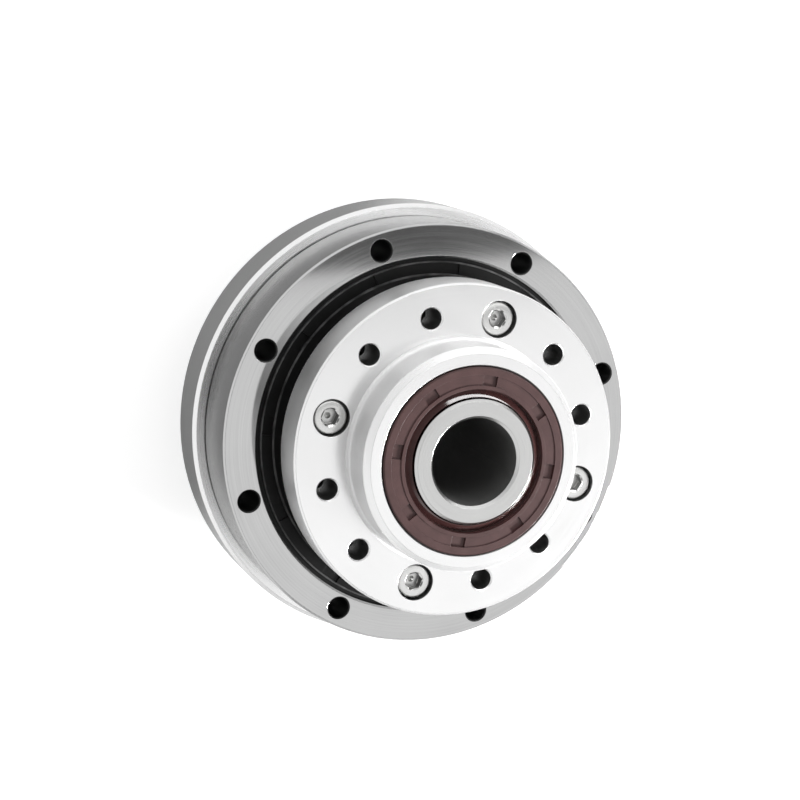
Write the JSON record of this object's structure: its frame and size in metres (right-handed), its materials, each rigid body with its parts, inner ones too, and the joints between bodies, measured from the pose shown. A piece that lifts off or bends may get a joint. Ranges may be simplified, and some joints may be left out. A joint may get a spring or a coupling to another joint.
{
  "type": "strain wave gearbox",
  "caption": "Round strain wave gearbox: a hollow input shaft through a bolted housing ring and rim, and a raised output flange with a sealed boss.",
  "frame": {"origin": "on the axis, in the plane of the rim's rear mounting face", "axes": "+Z along the common axis towards the output flange; +X through one of the output screws at rest"},
  "size_m": [0.074, 0.074, 0.0525],
  "materials": {
    "bright_aluminium": "fine turned, bright",
    "turned_steel": "turned",
    "ground_steel": "ground, circular lay",
    "shaft_steel": "ground",
    "bearing_steel": "polished",
    "spline_steel": "machined",
    "black_rubber": "moulded, satin",
    "brown_rubber": "moulded, satin",
    "screw_steel": "plain, bright",
    "cage_plastic": "moulded nylon",
    "spring_steel": "drawn wire"
  },
  "bodies": {
    "housing": {"rear_cover": "turned_steel", "cover_screws": "screw_steel", "cover_o_ring": "black_rubber", "ring_o_ring": "black_rubber", "bearing_outer_ring": "ground_steel", "output_seal": "black_rubber", "flexspline": "spline_steel", "wave_bearing_outer_race": "bearing_steel", "rear_bearing_outer_race": "bearing_steel", "rear_shaft_seal": "brown_rubber", "rear_seal_spring": "spring_steel"},
    "output": {"output_flange": "bright_aluminium", "output_screws": "screw_steel", "bearing_inner_ring": "bearing_steel", "circular_spline": "spline_steel", "front_bearing_outer_race": "bearing_steel", "front_shaft_seal": "brown_rubber", "front_seal_spring": "spring_steel"},
    "input": {"hollow_shaft": "shaft_steel", "wave_bearing_inner_race": "bearing_steel", "rear_bearing_inner_race": "bearing_steel", "front_bearing_inner_race": "bearing_steel"},
    "wave_cage": {"wave_bearing_balls": "bearing_steel", "wave_bearing_cage": "cage_plastic"},
    "rear_cage": {"rear_bearing_balls": "bearing_steel", "rear_bearing_cage": "cage_plastic"},
    "front_cage": {"front_bearing_balls": "bearing_steel", "front_bearing_cage": "cage_plastic"},
    "roller_set": {"cross_rollers": "bearing_steel", "roller_spacers": "cage_plastic"}
  },
  "joints": [
    {"name": "input_spin", "type": "hinge", "parent": "housing", "child": "input", "pos_m": [0, 0, 0], "axis": [0, 0, 1], "continuous": true, "deforming": ["flexspline", "wave_bearing_outer_race", "wave_bearing_balls", "wave_bearing_cage"]},
    {"name": "output_turn", "type": "hinge", "parent": "housing", "child": "output", "pos_m": [0, 0, 0], "axis": [0, 0, 1], "continuous": true},
    {"name": "wave_cage_spin", "type": "hinge", "parent": "housing", "child": "wave_cage", "pos_m": [0, 0, 0], "axis": [0, 0, 1], "continuous": true},
    {"name": "rear_cage_spin", "type": "hinge", "parent": "housing", "child": "rear_cage", "pos_m": [0, 0, 0], "axis": [0, 0, 1], "continuous": true},
    {"name": "front_cage_spin", "type": "hinge", "parent": "housing", "child": "front_cage", "pos_m": [0, 0, 0], "axis": [0, 0, 1], "continuous": true},
    {"name": "roller_set_turn", "type": "hinge", "parent": "housing", "child": "roller_set", "pos_m": [0, 0, 0], "axis": [0, 0, 1], "continuous": true}
  ],
  "couplings": [
    {"joint": "output_turn", "follows": "input_spin", "ratio": 0.012346},
    {"joint": "wave_cage_spin", "follows": "input_spin", "ratio": 0.45003},
    {"joint": "rear_cage_spin", "follows": "input_spin", "ratio": 0.43269},
    {"joint": "front_cage_spin", "follows": "input_spin", "ratio": 0.4397},
    {"joint": "roller_set_turn", "follows": "input_spin", "ratio": 0.005973}
  ]
}
